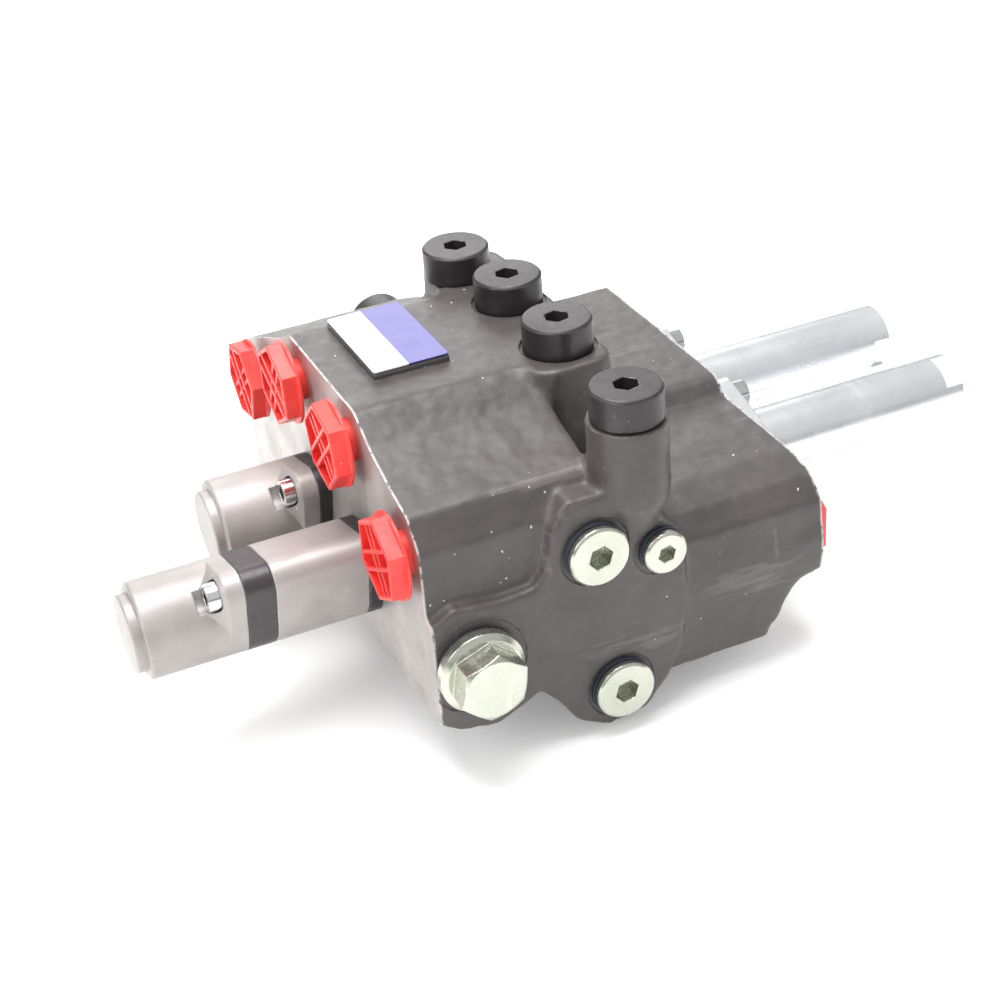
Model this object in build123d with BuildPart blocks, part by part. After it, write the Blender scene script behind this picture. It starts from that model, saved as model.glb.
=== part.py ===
import os
from math import cos, radians, sin

from build123d import *

os.makedirs("parts", exist_ok=True)

# driving dimensions, mm
# +X runs along the spools, from the end caps to the cable sleeves. The four mounting feet
# stand on z = 0, and the origin is the middle of their square.
spool_height = 56.0        # spool axes above the feet
spool_pitch = 50.0
spool_radius = 9.0
spool_bore = 9.03          # running fit
spool_travel = 7.0
groove_radius = 12.5
groove_width = 8.0
groove_stations = (-52, -31, -10, 11, 32, 53)
seal_depth = 5.0           # counterbore for the spool seals at both faces

body_length = 150.0
deck_height = 120.0        # flat top of the casting
ridge_left, ridge_right = -13.0, 19.0
left_mass_end = -9.0
front_pad = -87.5          # machined pad that carries the relief valve
back_pad = 104.0
boss_radius = 13.4         # separate boss of the near gallery plug

foot_pitch = 90.0
foot_radius = 13.0
foot_thread_radius = 3.4   # M8 tapping size
foot_thread_depth = 16.0

port_radius = 7.5          # G 3/8 minor radius
port_depth = 17.0
drilling = 5.0             # radii of the drilled passages
cross_drilling = 3.6
plug_drilling = 3.2
upper_port_height = 106.0
lower_port_offset = 70.3
lower_port_height = 86.5
side_port_offset = 64.0
side_port_height = 48.0
side_boss_radius = 22.2

head_radius = 12.5         # black screw plugs
head_height = 12.3
spot_depth = 1.3
plug_thread = 9.0
zinc_head = 11.0
pilot_head = 8.0
washer_thickness = 1.5

ear_offset = 14.5          # clamp screws sit on one diagonal of each spool axis
ear_radius = 7.0
cap_radius = 17.3
plate_thickness = 5.0
housing_length = 33.5
detent_ring_length = 10.5
cap_flange = 6.0
near_cap_length = 34.3
far_cap_length = 34.5
cap_disc_radius = 14.0
cap_disc_height = 3.6
spring_room = 13.5         # inner radius of the centring chambers
m6_clearance = 3.3
m6_shank = 2.95
m6_tap = 3.0
screw_head_radius = 5.0
screw_head_height = 6.0
screw_key = 5.0            # socket across flats, and its depth
key_depth = 3.2

sleeve_radius = 12.75
sleeve_bore = 10.5
ferrule_bore = 11.0        # wider mouth that takes the cable ferrule
ferrule_depth = 40.0
sleeve_length = 95.2
sleeve_flange = 6.0
notch_depth = 7.5
notch_width = 14.0
notch_angles = {"near": 117, "far": 195}   # where the notch faces, from +Y towards +Z

fit_gap = 0.05             # radial gap of screwed and pressed fits
plug_stub = 15.0
plug_key = 8.0
back_head_height = 11.0
zinc_head_height = 3.4
zinc_stub = 14.0
pilot_thread = 5.0
label_lift = 2.6
label_thickness = 0.5

port_hex = 27.0            # moulded thread protectors
port_hex_rim = 1.4
port_hex_depth = 3.2
port_hex_thickness = 5.5
port_flange_radius = 15.4
port_flange_thickness = 1.1
port_stub = 12.0
loose_gap = 4.1            # how far the left protectors stand off the casting
tight_gap = 0.4
rib_width = 1.25
edge_rib_offset = 3.0      # from the middle, parallel to a side
cross_rib_offset = 2.2

relief_thread = 11.0
relief_flange = 5.0
relief_hex = 22.0
relief_hex_height = 9.0

spool_start = -82.0
spool_end = 88.0
neck_stations = (-52, -10, 11, 53)
neck_width = 12.0
neck_radius = 6.2
stud_radius = 4.0          # screwed joints at both spool ends
stud_depth = 12.0
seal_width = 4.5
link_length = 24.0
link_radius = 7.0
detent_rod_radius = 5.0
ball_radius = 2.2
ball_orbit = 7.25
collar_thickness = 3.0
far_room = 32.0            # depth of the far cap's spring chamber
pocket_radius = 5.6        # pockets for the screw heads
pocket_depth = 9.0
ear_web = 7.5
edge_break = 0.35          # small chamfers on turned and machined edges

left_face = -body_length / 2
right_face = body_length / 2
near = -spool_pitch / 2    # the spool on the relief valve's side
far = spool_pitch / 2
head_seat = deck_height - spot_depth
far_gallery = (-2.1, 48.3)
far_check = (4.2, 15.7)
near_check = (4.3, -25.0)
near_gallery = (2.2, -80.1)
upper_gallery = (-15.3, 76.4)
pilot_gallery = (9.2, 69.7)
lower_gallery = (-7.7, 18.4)
relief_axis = (-60.2, 46.2)
back_gallery = (-13.6, 73.7)


# small builders
def rod(plane, start, centre, radius, length, mode=Mode.ADD):
    """A round bar along the plane's normal, in the part being built."""
    with BuildSketch(plane.offset(start)) as disc:
        with Locations(centre):
            Circle(radius)
    extrude(disc.sketch, amount=length, mode=mode)


def rod_x(start, end, y, z, radius, mode=Mode.ADD):
    rod(Plane.YZ, start, (y, z), radius, end - start, mode)


def rod_y(start, end, x, z, radius, mode=Mode.ADD):
    rod(Plane.XZ, -end, (x, z), radius, end - start, mode)


def rod_z(start, end, x, y, radius, mode=Mode.ADD):
    rod(Plane.XY, start, (x, y), radius, end - start, mode)


def prism(plane, start, points, length, corner=0.0, mode=Mode.ADD):
    """A prism on a closed outline, with every corner rounded alike."""
    with BuildSketch(plane.offset(start)) as outline:
        with BuildLine():
            Polyline(*points, close=True)
        make_face()
        if corner:
            fillet(outline.vertices(), corner)
    extrude(outline.sketch, amount=length, mode=mode)


def hexagon(plane, start, centre, across_flats, length, turn=0.0, mode=Mode.ADD):
    with BuildSketch(plane.offset(start)) as outline:
        with Locations(centre):
            RegularPolygon(across_flats / 2, 6, major_radius=False, rotation=turn)
    extrude(outline.sketch, amount=length, mode=mode)


def eared_plate(start, length, y, ear_side, mode=Mode.ADD, grow=0.0):
    """A round plate with two screw ears; ear_side is -1 where the upper ear lies towards -Y."""
    with BuildSketch(Plane.YZ.offset(start)) as outline:
        with Locations((y, spool_height)):
            Circle(cap_radius + grow)
        with Locations(*screw_places(y, ear_side)):
            Circle(ear_radius + grow)
        make_hull()
    extrude(outline.sketch, amount=length, mode=mode)


def screw_places(y, ear_side):
    shift = ear_side * ear_offset
    return [(y + shift, spool_height + ear_offset), (y - shift, spool_height - ear_offset)]


def keep(part, name):
    part.part.label = name
    export_step(part.part, f"parts/{name}.step")


# the casting
left_floor = 26.0
right_floor = 12.0
left_outline = [(-82, left_floor), (-82.5, 91), (-75, 101.5), (-60, 105.8), (-45, 111.5), (-32, deck_height),
                (33, deck_height), (47, 112.5), (69, 103.3), (90, 94), (94, 78), (back_pad, 54),
                (back_pad, left_floor)]
right_outline = [(-82, right_floor), (-86, 44), (-84, 66), (-76, 73), (-64, 75.5), (-17, 75.5), (-11, 81.5),
                 (78, 81.5), (90, 72), (95, right_floor)]
right_step_outline = [(56, 0), (56, 16), (60, 21), (62, 28), (66, 34), (76, 37.5), (90, 37.5), (90, 0)]
pad_outline = [(left_face, 30), (-68, 21), (-54, 18.5), (-44, 23), (-38, 26.5), (-31, 19), (-24, 8), (-13, 2),
               (2, 4), (11, 14), (17.5, 26), (19.5, 48), (18.5, 73), (12, 81), (3, 84), (-3, 90), (-12, 97),
               (-24, 98), (-30, 90), (-32.5, 76), (-37, 69), (-50, 68), (-67, 70.5), (left_face, 62)]
back_outline = [(left_face, 26), (10, 20), (16, 40), (13, 70), (1, 86), (-27, 86), (-36, 72), (-50, 62),
                (left_face, 56)]

with BuildPart() as valve_body:
    prism(Plane.YZ, left_face, left_outline, left_mass_end - left_face, corner=5.0)
    prism(Plane.YZ, left_mass_end, right_outline, right_face - left_mass_end, corner=4.5)
    # the right face steps back below the side ports
    prism(Plane.XZ, -100, right_step_outline, 200, mode=Mode.SUBTRACT)
    for side in (-1, 1):
        rod_x(50, right_face, side * side_port_offset, side_port_height, side_boss_radius)
    # the ridge that carries three of the top plugs, and the separate boss of the fourth
    prism(Plane.XY, 70, [(ridge_left, -43), (ridge_right, -43), (ridge_right, 63), (ridge_left, 63)],
          deck_height - 70, corner=6.0)
    boss_x, boss_y = near_gallery
    rod_z(92, head_seat, boss_x, boss_y, boss_radius)
    with BuildSketch(Plane.XY.offset(92)) as boss_end:
        with Locations(near_gallery):
            Circle(boss_radius)
    extrude(boss_end.sketch, amount=-22, taper=22)
    # side pads, thick enough for the valves and plugs screwed into them
    prism(Plane.XZ, 50, pad_outline, -front_pad - 50, corner=3.5)
    prism(Plane.XZ, -back_pad, back_outline, back_pad - 60, corner=4.0)
    # raised seat of the label
    prism(Plane.XY, deck_height - 1, [(-61, -16.2), (-32.6, -16.2), (-32.6, 31.2), (-61, 31.2)],
          1 + label_lift, corner=1.5)
    with GridLocations(foot_pitch, foot_pitch, 2, 2):
        Cylinder(foot_radius, 40, align=(Align.CENTER, Align.CENTER, Align.MIN))

    # spool bores, their annular grooves and seal seats
    for y in (near, far):
        rod_x(left_face, right_face, y, spool_height, spool_bore, Mode.SUBTRACT)
        for station in groove_stations:
            rod_x(station - groove_width / 2, station + groove_width / 2, y, spool_height, groove_radius,
                  Mode.SUBTRACT)
        for start in (left_face, right_face - seal_depth):
            rod_x(start, start + seal_depth, y, spool_height, groove_radius, Mode.SUBTRACT)
        for ear_side, start in ((-1, left_face), (1, right_face - 15)):
            for place_y, place_z in screw_places(y, ear_side):
                rod_x(start, start + 15, place_y, place_z, m6_tap, Mode.SUBTRACT)
    # ports and the passages behind them
    for side in (-1, 1):
        rod_x(left_face, left_face + port_depth, side * far, upper_port_height, port_radius, Mode.SUBTRACT)
        rod_x(left_face, -52 + drilling, side * far, upper_port_height, drilling, Mode.SUBTRACT)
        rod_z(spool_height, upper_port_height, -52, side * far, drilling, Mode.SUBTRACT)
        lower_y = side * lower_port_offset
        rod_x(left_face, left_face + port_depth, lower_y, lower_port_height, port_radius, Mode.SUBTRACT)
        rod_x(left_face, -31 + drilling, lower_y, lower_port_height, drilling, Mode.SUBTRACT)
        rod_z(spool_height - drilling, lower_port_height, -31, lower_y, drilling, Mode.SUBTRACT)
        side_y = side * side_port_offset
        rod_x(right_face - port_depth, right_face, side_y, side_port_height, port_radius, Mode.SUBTRACT)
        rod_x(32 - drilling, right_face, side_y, side_port_height, drilling, Mode.SUBTRACT)
    rod_y(-lower_port_offset, lower_port_offset, -31, spool_height, cross_drilling, Mode.SUBTRACT)
    rod_y(-side_port_offset, side_port_offset, 32, side_port_height, cross_drilling, Mode.SUBTRACT)
    # seats and threads of the top plugs
    for place_x, place_y in (far_gallery, far_check, near_check, near_gallery):
        rod_z(head_seat, deck_height + 1, place_x, place_y, head_radius + 1.2, Mode.SUBTRACT)
        rod_z(102, deck_height, place_x, place_y, plug_thread, Mode.SUBTRACT)
    for place_x, place_y in (far_check, near_check):
        rod_z(84, 102, place_x, place_y, 6.5, Mode.SUBTRACT)
        rod_z(60, 84, place_x, place_y, 4.5, Mode.SUBTRACT)
    rod_z(38, 102, *near_gallery, plug_drilling, Mode.SUBTRACT)
    rod_z(38, 102, *far_gallery, plug_drilling, Mode.SUBTRACT)
    rod_y(near_gallery[1], 54, 0, 40, 2.6, Mode.SUBTRACT)
    # threads in the side pads
    for (place_x, place_z), radius, bottom, passage in (
            (upper_gallery, port_radius, -72, -45),
            (lower_gallery, port_radius, -72, -56),
            (pilot_gallery, pilot_thread, -74, -62)):
        rod_y(front_pad, bottom, place_x, place_z, radius, Mode.SUBTRACT)
        rod_y(front_pad, passage, place_x, place_z, plug_drilling, Mode.SUBTRACT)
    rod_y(front_pad, -73, *relief_axis, 11.0, Mode.SUBTRACT)
    rod_y(front_pad, -52, *relief_axis, 8.0, Mode.SUBTRACT)
    rod_y(front_pad, -36, *relief_axis, drilling, Mode.SUBTRACT)
    rod_y(86, back_pad, *back_gallery, plug_thread, Mode.SUBTRACT)
    rod_y(66, back_pad, *back_gallery, drilling, Mode.SUBTRACT)
    with GridLocations(foot_pitch, foot_pitch, 2, 2):
        Cylinder(foot_thread_radius, foot_thread_depth, align=(Align.CENTER, Align.CENTER, Align.MIN),
                 mode=Mode.SUBTRACT)
keep(valve_body, "valve_body")


# label and screwed plugs
def disc_ring(plane, start, centre, outer, inner, length):
    """A flat ring in the part being built."""
    with BuildSketch(plane.offset(start)) as ring:
        with Locations(centre):
            Circle(outer)
            Circle(inner, mode=Mode.SUBTRACT)
    extrude(ring.sketch, amount=length)


def port_plug(name, face, outward, y, z, gap, corner):
    """A moulded thread protector: ribbed hexagon, round flange, and a plain stub in the port.

    gap is how far its flange stands off the casting, and corner the angle of one of the hexagon's
    corners from +Y towards +Z.
    """
    plane = Plane(origin=(face, y, z), x_dir=(0, 1, 0), z_dir=(outward, 0, 0))
    turn = outward * corner
    hex_start = gap + port_flange_thickness
    top = hex_start + port_hex_thickness
    pocket_floor = top - port_hex_depth
    with BuildPart() as plug:
        hexagon(plane, gap, (0, 0), port_hex, top - gap, turn)
        fillet(plug.faces().filter_by(Axis.X).sort_by(Axis.X)[0 if outward < 0 else -1].edges(), 0.7)
        rod(plane, gap, (0, 0), port_flange_radius, port_flange_thickness)
        rod(plane, -port_stub, (0, 0), port_radius - fit_gap, port_stub + gap)
        hexagon(plane, pocket_floor, (0, 0), port_hex - 2 * port_hex_rim, port_hex_depth, turn, Mode.SUBTRACT)
        for angle, spacing, drop in ((0, 2 * edge_rib_offset, 0.1), (90, 2 * cross_rib_offset, 0.6)):
            with BuildSketch(plane.offset(pocket_floor - 0.2)) as ribs:
                with Locations(Location((0, 0, 0), (0, 0, turn + angle))):
                    with GridLocations(0, spacing, 1, 2):
                        Rectangle(port_hex * 1.2, rib_width)
                RegularPolygon(port_hex / 2 - port_hex_rim / 2, 6, major_radius=False, rotation=turn,
                               mode=Mode.INTERSECT)
            extrude(ribs.sketch, amount=port_hex_depth + 0.2 - drop)
    keep(plug, name)


def socket_plug(name, plane, centre, head, height, thread, depth, key):
    """A round-headed screw plug with a hexagon socket; the plane lies under its head."""
    socket_depth = key * 0.75
    with BuildPart() as plug:
        rod(plane, 0, centre, head, height)
        chamfer(plug.edges().filter_by(GeomType.CIRCLE), 0.8)
        rod(plane, -depth, centre, thread - fit_gap, depth)
        hexagon(plane, height - socket_depth, centre, key, socket_depth, 12, Mode.SUBTRACT)
    keep(plug, name)


with BuildPart() as label_plate:
    prism(Plane.XY, deck_height + label_lift, [(-60.7, -15.9), (-32.9, -15.9), (-32.9, 30.9), (-60.7, 30.9)],
          label_thickness, corner=1.2)
keep(label_plate, "label_plate")

port_plug("port_plug_a1", left_face, -1, near, upper_port_height, loose_gap, 136)
port_plug("port_plug_a2", left_face, -1, far, upper_port_height, loose_gap, 27)
port_plug("port_plug_b1", left_face, -1, -lower_port_offset, lower_port_height, loose_gap, 151)
port_plug("port_plug_b2", left_face, -1, lower_port_offset, lower_port_height, loose_gap, 48)
port_plug("inlet_port_plug", right_face, 1, -side_port_offset, side_port_height, tight_gap, 30)
port_plug("return_port_plug", right_face, 1, side_port_offset, side_port_height, tight_gap, 10)

top_seat = Plane.XY.offset(head_seat)
for name, place in (("check_plug_near", near_check), ("check_plug_far", far_check),
                    ("gallery_plug_near", near_gallery), ("gallery_plug_far", far_gallery)):
    socket_plug(name, top_seat, place, head_radius, head_height, plug_thread, plug_stub, plug_key)

washer_face = Plane.XZ.offset(washer_thickness - front_pad)
for name, place in (("gallery_plug_upper", upper_gallery), ("gallery_plug_lower", lower_gallery)):
    socket_plug(name, washer_face, place, zinc_head, zinc_head_height, port_radius, zinc_stub, plug_key)
socket_plug("pilot_plug", washer_face, pilot_gallery, pilot_head, zinc_head_height, pilot_thread,
            zinc_stub, 6)
with BuildPart() as plug_seals:
    disc_ring(Plane.XZ, -front_pad, upper_gallery, zinc_head + 0.4, port_radius, washer_thickness)
    disc_ring(Plane.XZ, -front_pad, lower_gallery, zinc_head + 0.4, port_radius, washer_thickness)
    disc_ring(Plane.XZ, -front_pad, pilot_gallery, pilot_head + 0.4, pilot_thread, washer_thickness)
keep(plug_seals, "plug_seals")

back_face = Plane(origin=(0, back_pad, 0), x_dir=(1, 0, 0), z_dir=(0, 1, 0))
socket_plug("back_gallery_plug", back_face, (back_gallery[0], -back_gallery[1]), head_radius,
            back_head_height, plug_thread, plug_stub, plug_key)


# springs
def coil(name, start, direction, mean_radius, wire, length, turns):
    """A round-wire compression spring between two faces."""
    axis = Vector(*direction)
    clear = 0.55 * wire
    height = length - 2 * clear
    with BuildPart() as spring:
        with BuildLine() as path:
            Helix(pitch=height / turns, height=height, radius=mean_radius,
                  center=Vector(*start) + axis * clear, direction=axis)
        with BuildSketch(Plane(origin=path.line @ 0, z_dir=path.line % 0)) as section:
            Circle(wire / 2)
        sweep(section.sketch, path=path.line, is_frenet=True)
    keep(spring, name)


# relief valve
relief_x, relief_z = relief_axis
flange_back = front_pad - washer_thickness
flange_front = flange_back - relief_flange
with BuildPart() as relief_washer:
    disc_ring(Plane.XZ, -front_pad, relief_axis, 14.6, relief_thread, washer_thickness)
keep(relief_washer, "relief_washer")

with BuildPart() as relief_cap:
    hexagon(Plane.XZ, -flange_front, relief_axis, relief_hex, relief_hex_height, 20)
    # the corners of the hexagon are turned off by a cone
    with BuildSketch(Plane.XZ.offset(relief_hex_height - flange_front)) as cone:
        with Locations(relief_axis):
            Circle(relief_hex / 2 - 0.4)
    extrude(cone.sketch, amount=-relief_hex_height, taper=-60, mode=Mode.INTERSECT)
    with BuildSketch(Plane.XZ.offset(-flange_back)) as flange:
        with Locations(relief_axis):
            Circle(15.2)
    extrude(flange.sketch, amount=relief_flange - 1.6)
    with BuildSketch(Plane.XZ.offset(-flange_front - 1.6)) as flange_cone:
        with Locations(relief_axis):
            Circle(15.2)
    extrude(flange_cone.sketch, amount=1.6, taper=50)
    rod_y(flange_back, -75, relief_x, relief_z, relief_thread - fit_gap)
    rod_y(-97, -75, relief_x, relief_z, 7.3, Mode.SUBTRACT)
keep(relief_cap, "relief_cap")

with BuildPart() as relief_adjuster:
    rod_y(-86, -82, relief_x, relief_z, 7.2)
    rod_y(-82, -79, relief_x, relief_z, 3.4)
    hexagon(Plane.XZ, 82, relief_axis, 5.0, 4.0, 0, Mode.SUBTRACT)
keep(relief_adjuster, "relief_adjuster")

with BuildPart() as relief_seat:
    rod_y(-60, -52, relief_x, relief_z, 8.0 - fit_gap)
    rod_y(-60, -52, relief_x, relief_z, 3.2, Mode.SUBTRACT)
keep(relief_seat, "relief_seat")

with BuildPart() as relief_poppet:
    rod_y(-70, -64, relief_x, relief_z, 7.0)
    rod_y(-73, -70, relief_x, relief_z, 3.4)
    with BuildSketch(Plane.XZ.offset(64)) as cone:
        with Locations(relief_axis):
            Circle(4.9)
    extrude(cone.sketch, amount=-4.8, taper=25)
keep(relief_poppet, "relief_poppet")

coil("relief_spring", (relief_x, -82, relief_z), (0, 1, 0), 4.8, 1.6, 12.0, 4)

# load checks under the ridge plugs
for name, (place_x, place_y) in (("near", near_check), ("far", far_check)):
    with BuildPart() as check_poppet:
        rod_z(84.3, 92, place_x, place_y, 6.2)
        rod_z(92, 95, place_x, place_y, 2.9)
        with BuildSketch(Plane.XY.offset(84.3)) as cone:
            with Locations((place_x, place_y)):
                Circle(4.3)
        extrude(cone.sketch, amount=-4, taper=30)
    keep(check_poppet, f"check_poppet_{name}")
    coil(f"check_spring_{name}", (place_x, place_y, 92), (0, 0, 1), 4.2, 1.2, 11.6, 4)

# spools with their seals and links
plate_end = left_face - plate_thickness
for name, y in (("near", near), ("far", far)):
    with BuildPart() as spool:
        rod_x(spool_start, spool_end, y, spool_height, spool_radius)
        for station in neck_stations:
            with BuildSketch(Plane.YZ.offset(station - neck_width / 2)) as neck:
                with Locations((y, spool_height)):
                    Circle(spool_radius + 1)
                    Circle(neck_radius, mode=Mode.SUBTRACT)
            extrude(neck.sketch, amount=neck_width, mode=Mode.SUBTRACT)
        rod_x(spool_start, spool_start + stud_depth, y, spool_height, stud_radius, Mode.SUBTRACT)
        rod_x(spool_end - stud_depth, spool_end, y, spool_height, stud_radius, Mode.SUBTRACT)
        chamfer(spool.faces().sort_by(Axis.X)[0].edges(), 0.6)
    keep(spool, f"spool_{name}")

    with BuildPart() as seals:
        for start in (left_face, right_face - seal_width):
            disc_ring(Plane.YZ, start, (y, spool_height), groove_radius - fit_gap, spool_radius + fit_gap,
                      seal_width)
    keep(seals, f"spool_seals_{name}")

    with BuildPart() as cover_plate:
        eared_plate(plate_end, plate_thickness, y, -1)
        chamfer(cover_plate.faces().sort_by(Axis.X)[0].edges(), edge_break)
        rod_x(plate_end, left_face, y, spool_height, spool_radius + 0.6, Mode.SUBTRACT)
        for place in screw_places(y, -1):
            rod_x(plate_end, left_face, *place, m6_clearance, Mode.SUBTRACT)
    keep(cover_plate, f"cover_plate_{name}")

    with BuildPart() as cable_link:
        rod_x(spool_end, spool_end + link_length, y, spool_height, link_radius)
        chamfer(cable_link.faces().sort_by(Axis.X)[-1].edges(), 1.0)
        rod_x(spool_end - stud_depth + 1, spool_end, y, spool_height, stud_radius - fit_gap)
        fork = [(spool_end + 8, y - 2.5), (spool_end + link_length + 1, y - 2.5),
                (spool_end + link_length + 1, y + 2.5), (spool_end + 8, y + 2.5)]
        prism(Plane.XY, spool_height - link_radius - 1, fork, 2 * link_radius + 2, mode=Mode.SUBTRACT)
        rod_y(y - link_radius, y + link_radius, spool_end + link_length - 6, spool_height, 2.5, Mode.SUBTRACT)
    keep(cable_link, f"cable_link_{name}")


# end caps
def closed_cap(start, length, y, cavity_radius, cavity_start):
    """A cast cap: eared flange at its open end, round body and a small end disc."""
    body_start = start - length + cap_disc_height
    with BuildPart() as cap:
        rod_x(body_start, start, y, spool_height, cap_radius)
        fillet(cap.faces().sort_by(Axis.X)[0].edges(), 1.3)
        rod_x(start - length, body_start, y, spool_height, cap_disc_radius)
        fillet(cap.faces().sort_by(Axis.X)[0].edges(), 0.9)
        eared_plate(start - cap_flange, cap_flange, y, -1)
        # webs run from the ears down to the body, on both sides of the screw heads
        with BuildSketch(Plane.YZ.offset(start - cap_flange)) as web:
            with Locations((y, spool_height)):
                Circle(cap_radius)
            with Locations(*screw_places(y, -1)):
                Circle(ear_radius)
            make_hull()
        extrude(web.sketch, amount=-ear_web, taper=38)
        rod_x(cavity_start, start, y, spool_height, cavity_radius, Mode.SUBTRACT)
        for place in screw_places(y, -1):
            rod_x(start - cap_flange - pocket_depth, start - cap_flange, *place, pocket_radius, Mode.SUBTRACT)
            rod_x(start - cap_flange, start, *place, m6_clearance, Mode.SUBTRACT)
    return cap


def cap_screws(name, direction, y, ear_side, seat, tip):
    """Two socket-head screws through the ears of one spool end."""
    with BuildPart() as screws:
        for place_y, place_z in screw_places(y, ear_side):
            plane = Plane(origin=(seat, place_y, place_z), x_dir=(0, 1, 0), z_dir=(direction, 0, 0))
            rod(plane, 0, (0, 0), screw_head_radius, screw_head_height)
            rod(plane, -abs(seat - tip), (0, 0), m6_shank, abs(seat - tip))
            hexagon(plane, screw_head_height - key_depth, (0, 0), screw_key, key_depth, 20, Mode.SUBTRACT)
    keep(screws, name)


screw_tip = left_face + 14
near_seat = plate_end - housing_length - detent_ring_length
far_seat = plate_end
far_cap = closed_cap(far_seat, far_cap_length + cap_disc_height, far, spring_room, far_seat - far_room)
keep(far_cap, "end_cap_far")
keep(closed_cap(near_seat, near_cap_length + cap_disc_height, near, 7.5, near_seat - 28), "end_cap_near")
cap_screws("cap_screws_near", -1, near, -1, near_seat - cap_flange, screw_tip)
cap_screws("cap_screws_far", -1, far, -1, far_seat - cap_flange, screw_tip)

# centring and detent of the near spool
housing_start = plate_end - housing_length
with BuildPart() as centring_housing:
    eared_plate(housing_start, housing_length, near, -1)
    chamfer(centring_housing.faces().filter_by(Axis.X).edges(), edge_break)
    rod_x(housing_start, plate_end, near, spool_height, spring_room, Mode.SUBTRACT)
    for place in screw_places(near, -1):
        rod_x(housing_start, plate_end, *place, m6_clearance, Mode.SUBTRACT)
keep(centring_housing, "centring_housing")

ring_floor = housing_start - 2
with BuildPart() as detent_ring:
    eared_plate(near_seat, detent_ring_length, near, -1)
    chamfer(detent_ring.faces().filter_by(Axis.X).edges(), edge_break)
    rod_x(near_seat, ring_floor, near, spool_height, 12.0, Mode.SUBTRACT)
    rod_x(ring_floor, housing_start, near, spool_height, detent_rod_radius + 0.6, Mode.SUBTRACT)
    for place in screw_places(near, -1):
        rod_x(near_seat, housing_start, *place, m6_clearance, Mode.SUBTRACT)
keep(detent_ring, "detent_ring")

ball_x = ring_floor - 3.25
with BuildPart() as detent_sleeve:
    disc_ring(Plane.YZ, near_seat, (near, spool_height), 8.5, detent_rod_radius + 0.3, ring_floor - near_seat)
    rod_z(spool_height - 10, spool_height + 10, ball_x, near, ball_radius + 0.1, Mode.SUBTRACT)
    rod_y(near - 10, near + 10, ball_x, spool_height, ball_radius + 0.1, Mode.SUBTRACT)
keep(detent_sleeve, "detent_sleeve")

with BuildPart() as detent_balls:
    for turn in (0, 90, 180, 270):
        with Locations((ball_x, near + ball_orbit * cos(radians(turn)),
                        spool_height + ball_orbit * sin(radians(turn)))):
            Sphere(ball_radius)
keep(detent_balls, "detent_balls")

with BuildPart() as detent_garter_spring:
    with Locations(Plane(origin=(ball_x, near, spool_height), z_dir=(1, 0, 0))):
        Torus(ball_orbit + ball_radius + 1.25, 1.2)
keep(detent_garter_spring, "detent_garter_spring")

with BuildPart() as detent_rod:
    rod_x(-140, spool_start, near, spool_height, detent_rod_radius)
    rod_x(spool_start, spool_start + stud_depth - 1, near, spool_height, stud_radius - fit_gap)
    for station in (ball_x - spool_travel, ball_x + spool_travel):
        with BuildSketch(Plane.YZ.offset(station - 2)) as groove:
            with Locations((near, spool_height)):
                Circle(detent_rod_radius + 1)
                Circle(3.9, mode=Mode.SUBTRACT)
        extrude(groove.sketch, amount=4, mode=Mode.SUBTRACT)
    chamfer(detent_rod.faces().sort_by(Axis.X)[0].edges(), 1.0)
keep(detent_rod, "detent_rod")

with BuildPart() as centring_bolt:
    rod_x(-99, spool_start, far, spool_height, stud_radius - fit_gap)
    rod_x(spool_start, spool_start + stud_depth - 1, far, spool_height, stud_radius - fit_gap)
    rod_x(-103.5, -97.5, far, spool_height, 6.5)
    chamfer(centring_bolt.faces().sort_by(Axis.X)[0].edges(), 0.6)
keep(centring_bolt, "centring_bolt")

# each collar rides with its spool between two springs
collar_start_near = (plate_end + housing_start) / 2 - collar_thickness / 2
collar_start_far = -97.5
for name, y, start, bore, chamber_end in (
    ("near", near, collar_start_near, detent_rod_radius, housing_start),
    ("far", far, collar_start_far, stud_radius, far_seat - far_room)):
    with BuildPart() as spring_collar:
        disc_ring(Plane.YZ, start, (y, spool_height), 12.0, bore, collar_thickness)
    keep(spring_collar, f"spring_collar_{name}")
    coil(f"inner_spring_{name}", (start + collar_thickness, y, spool_height), (1, 0, 0), 11.2, 1.6,
         plate_end - start - collar_thickness, 4)
    coil(f"outer_spring_{name}", (chamber_end, y, spool_height), (1, 0, 0), 11.2, 1.6, start - chamber_end, 4)

# cable sleeves
sleeve_start = right_face
sleeve_end = right_face + sleeve_length
for name, y in (("near", near), ("far", far)):
    with BuildPart() as cable_sleeve:
        rod_x(sleeve_start, sleeve_end, y, spool_height, sleeve_radius)
        chamfer(cable_sleeve.faces().sort_by(Axis.X)[-1].edges(), edge_break)
        eared_plate(sleeve_start, sleeve_flange, y, 1)
        rod_x(sleeve_start, sleeve_end, y, spool_height, sleeve_bore, Mode.SUBTRACT)
        rod_x(sleeve_end - ferrule_depth, sleeve_end, y, spool_height, ferrule_bore, Mode.SUBTRACT)
        for place in screw_places(y, 1):
            rod_x(sleeve_start, sleeve_start + sleeve_flange, *place, m6_clearance, Mode.SUBTRACT)
        # the notch lets the cable's clip in from the side
        angle = radians(notch_angles[name])
        facing = Plane(origin=(sleeve_end, y, spool_height), x_dir=(1, 0, 0),
                       z_dir=(0, cos(angle), sin(angle)))
        with BuildSketch(facing) as notch:
            Rectangle(2 * notch_depth, notch_width)
        extrude(notch.sketch, amount=sleeve_radius + 1, mode=Mode.SUBTRACT)
    keep(cable_sleeve, f"cable_sleeve_{name}")
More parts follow.
